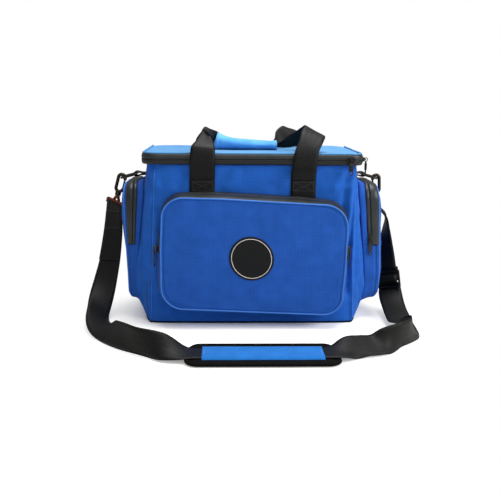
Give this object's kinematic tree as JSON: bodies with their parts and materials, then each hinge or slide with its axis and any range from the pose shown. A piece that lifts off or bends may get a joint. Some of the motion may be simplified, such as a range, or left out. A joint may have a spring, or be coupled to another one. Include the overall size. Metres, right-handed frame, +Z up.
{
  "type": "soft carrying bag",
  "caption": "Soft-sided carrying bag with zipped lid, front and side pockets, paired handles with a grip wrap and a clip-on padded shoulder strap.",
  "frame": {"origin": "on the floor, under the middle of the base", "axes": "+Z up, -Y the front with the patch, +X to the right seen from the front"},
  "size_m": [0.6427, 0.4893, 0.3919],
  "materials": {
    "fabric_blue": "woven matt",
    "fabric_light": "woven matt, lit",
    "webbing": "ribbed webbing",
    "zip_band": "coated tape, satin",
    "black_metal": "black with bronze lights",
    "patch_black": "satin",
    "patch_line": "pale line",
    "board": "matt"
  },
  "bodies": {
    "bag": {"base_panel": "webbing", "base_board": "board", "front_panel": "fabric_blue", "rear_panel": "fabric_blue", "left_panel": "fabric_blue", "right_panel": "fabric_blue", "lower_zip_tape": "zip_band", "front_gusset": "fabric_blue", "front_inner_tape": "zip_band", "front_lower_face": "fabric_blue", "front_lower_piping": "fabric_light", "left_gusset": "fabric_blue", "left_inner_tape": "zip_band", "left_lower_face": "fabric_blue", "right_gusset": "fabric_blue", "right_inner_tape": "zip_band", "right_lower_face": "fabric_blue", "handle_anchors": "webbing", "ring_tabs": "webbing", "strap_left": "webbing", "strap_right": "webbing"},
    "lid": {"lid_panel": "fabric_light", "upper_zip_tape": "zip_band", "lid_piping": "fabric_light"},
    "front_cover": {"front_flap": "fabric_blue", "front_outer_tape": "zip_band", "front_flap_piping": "fabric_light", "patch": "patch_black", "patch_ring": "patch_line"},
    "left_cover": {"left_flap": "fabric_blue", "left_outer_tape": "zip_band"},
    "right_cover": {"right_flap": "fabric_blue", "right_outer_tape": "zip_band"},
    "front_handle": {"front_handle": "webbing"},
    "rear_handle": {"rear_handle": "webbing", "grip_wrap": "fabric_light"},
    "pad": {"shoulder_pad": "webbing", "pad_strip": "fabric_light"},
    "adjuster": {"adjuster": "black_metal"},
    "left_ring": {"left_ring": "black_metal"},
    "left_hook": {"left_hook": "black_metal"},
    "left_gate": {"left_gate": "black_metal"},
    "left_yoke": {"left_yoke": "black_metal"},
    "right_ring": {"right_ring": "black_metal"},
    "right_hook": {"right_hook": "black_metal"},
    "right_gate": {"right_gate": "black_metal"},
    "right_yoke": {"right_yoke": "black_metal"},
    "lid_slider_a": {"lid_slider_a": "black_metal"},
    "lid_pull_a": {"lid_pull_a": "black_metal"},
    "lid_slider_b": {"lid_slider_b": "black_metal"},
    "lid_pull_b": {"lid_pull_b": "black_metal"},
    "front_slider_l": {"front_slider_l": "black_metal"},
    "front_pull_l": {"front_pull_l": "black_metal"},
    "front_slider_r": {"front_slider_r": "black_metal"},
    "front_pull_r": {"front_pull_r": "black_metal"},
    "left_slider": {"left_slider": "black_metal"},
    "left_pull": {"left_pull": "black_metal"},
    "right_slider": {"right_slider": "black_metal"},
    "right_pull": {"right_pull": "black_metal"}
  },
  "joints": [
    {"name": "lid_open", "type": "hinge", "parent": "bag", "child": "lid", "pos_m": [0, 0.1205, 0.324], "axis": [-1, 0, 0], "range_deg": [0, 100]},
    {"name": "front_cover_open", "type": "hinge", "parent": "bag", "child": "front_cover", "pos_m": [0, -0.1547, 0.094], "axis": [1, 0, 0], "range_deg": [0, 35]},
    {"name": "left_cover_open", "type": "hinge", "parent": "bag", "child": "left_cover", "pos_m": [-0.2567, 0, 0.152], "axis": [0, -1, 0], "range_deg": [0, 10]},
    {"name": "right_cover_open", "type": "hinge", "parent": "bag", "child": "right_cover", "pos_m": [0.2567, 0, 0.152], "axis": [0, 1, 0], "range_deg": [0, 10]},
    {"name": "front_handle_fall", "type": "hinge", "parent": "bag", "child": "front_handle", "pos_m": [0, -0.1164, 0.284], "axis": [1, 0, 0], "range_deg": [0, 105], "deforming": ["front_handle"]},
    {"name": "rear_handle_fall", "type": "hinge", "parent": "bag", "child": "rear_handle", "pos_m": [0, 0.1164, 0.284], "axis": [-1, 0, 0], "range_deg": [0, 115], "deforming": ["rear_handle"]},
    {"name": "pad_slide", "type": "slide", "parent": "bag", "child": "pad", "axis": [1, 0, 0], "range_m": [-0.015, 0.015], "deforming": ["strap_left", "strap_right"]},
    {"name": "adjuster_slide", "type": "slide", "parent": "bag", "child": "adjuster", "axis": [-0.1104, 0.2007, 0.9734], "range_m": [-0.008, 0.02], "deforming": ["strap_right"]},
    {"name": "left_ring_lift", "type": "hinge", "parent": "bag", "child": "left_ring", "pos_m": [-0.234, 0, 0.284], "axis": [0, 1, 0], "range_deg": [0, 40], "deforming": ["strap_left"]},
    {"name": "left_hook_swing", "type": "hinge", "parent": "left_ring", "child": "left_hook", "pos_m": [-0.264, 0, 0.276], "axis": [0, 1, 0], "range_deg": [0, 45], "deforming": ["strap_left"]},
    {"name": "left_gate_open", "type": "hinge", "parent": "left_hook", "child": "left_gate", "pos_m": [-0.26252, 0, 0.25448], "axis": [0, -1, 0], "range_deg": [0, 30], "stiffness_Nm_per_rad": 0.02, "springref_deg": -20.05},
    {"name": "left_swivel", "type": "hinge", "parent": "left_hook", "child": "left_yoke", "pos_m": [-0.27461, 0, 0.2364], "axis": [0.2588, 0, 0.9659], "range_deg": [-90, 0], "deforming": ["strap_left"]},
    {"name": "right_ring_lift", "type": "hinge", "parent": "bag", "child": "right_ring", "pos_m": [0.234, 0.02, 0.284], "axis": [0, -1, 0], "range_deg": [0, 40], "deforming": ["strap_right"]},
    {"name": "right_hook_swing", "type": "hinge", "parent": "right_ring", "child": "right_hook", "pos_m": [0.264, 0.02, 0.276], "axis": [0, -1, 0], "range_deg": [0, 45], "deforming": ["strap_right"]},
    {"name": "right_gate_open", "type": "hinge", "parent": "right_hook", "child": "right_gate", "pos_m": [0.25808, 0.02, 0.25526], "axis": [0, 1, 0], "range_deg": [0, 30], "stiffness_Nm_per_rad": 0.02, "springref_deg": -20.05},
    {"name": "right_swivel", "type": "hinge", "parent": "right_hook", "child": "right_yoke", "pos_m": [0.26615, 0.02, 0.23506], "axis": [-0.0523, 0, 0.9986], "range_deg": [-4, 28], "deforming": ["strap_right"]},
    {"name": "lid_slider_a_travel", "type": "slide", "parent": "bag", "child": "lid_slider_a", "axis": [-1, 0, 0], "range_m": [0, 0.24]},
    {"name": "lid_pull_a_swing", "type": "hinge", "parent": "lid_slider_a", "child": "lid_pull_a", "pos_m": [0.185, -0.1288, 0.3235], "axis": [-1, 0, 0], "range_deg": [0, 100]},
    {"name": "lid_slider_b_travel", "type": "slide", "parent": "bag", "child": "lid_slider_b", "axis": [0, 1, 0], "range_m": [0, 0.16]},
    {"name": "lid_pull_b_swing", "type": "hinge", "parent": "lid_slider_b", "child": "lid_pull_b", "pos_m": [0.2193, -0.093, 0.3235], "axis": [0, -1, 0], "range_deg": [0, 100]},
    {"name": "front_slider_l_travel", "type": "slide", "parent": "bag", "child": "front_slider_l", "axis": [0, 0, 1], "range_m": [0, 0.055]},
    {"name": "front_pull_l_swing", "type": "hinge", "parent": "front_slider_l", "child": "front_pull_l", "pos_m": [-0.1884, -0.1302, 0.1492], "axis": [0, 1, 0], "range_deg": [0, 110]},
    {"name": "front_slider_r_travel", "type": "slide", "parent": "bag", "child": "front_slider_r", "axis": [0, 0, 1], "range_m": [0, 0.055]},
    {"name": "front_pull_r_swing", "type": "hinge", "parent": "front_slider_r", "child": "front_pull_r", "pos_m": [0.1884, -0.1302, 0.1492], "axis": [0, -1, 0], "range_deg": [0, 110]},
    {"name": "left_slider_travel", "type": "slide", "parent": "bag", "child": "left_slider", "axis": [0, 0, 1], "range_m": [0, 0.06]},
    {"name": "left_pull_swing", "type": "hinge", "parent": "left_slider", "child": "left_pull", "pos_m": [-0.238, 0.0815, 0.1632], "axis": [1, 0, 0], "range_deg": [0, 110]},
    {"name": "right_slider_travel", "type": "slide", "parent": "bag", "child": "right_slider", "axis": [0, 0, 1], "range_m": [0, 0.06]},
    {"name": "right_pull_swing", "type": "hinge", "parent": "right_slider", "child": "right_pull", "pos_m": [0.238, -0.0815, 0.1632], "axis": [-1, 0, 0], "range_deg": [0, 110]}
  ],
  "couplings": [
    {"joint": "front_handle_fall", "follows": "lid_open", "ratio": 1.05},
    {"joint": "rear_handle_fall", "follows": "lid_open", "ratio": 1.15},
    {"joint": "left_ring_lift", "follows": "left_cover_open", "ratio": 4},
    {"joint": "right_ring_lift", "follows": "right_cover_open", "ratio": 4}
  ]
}
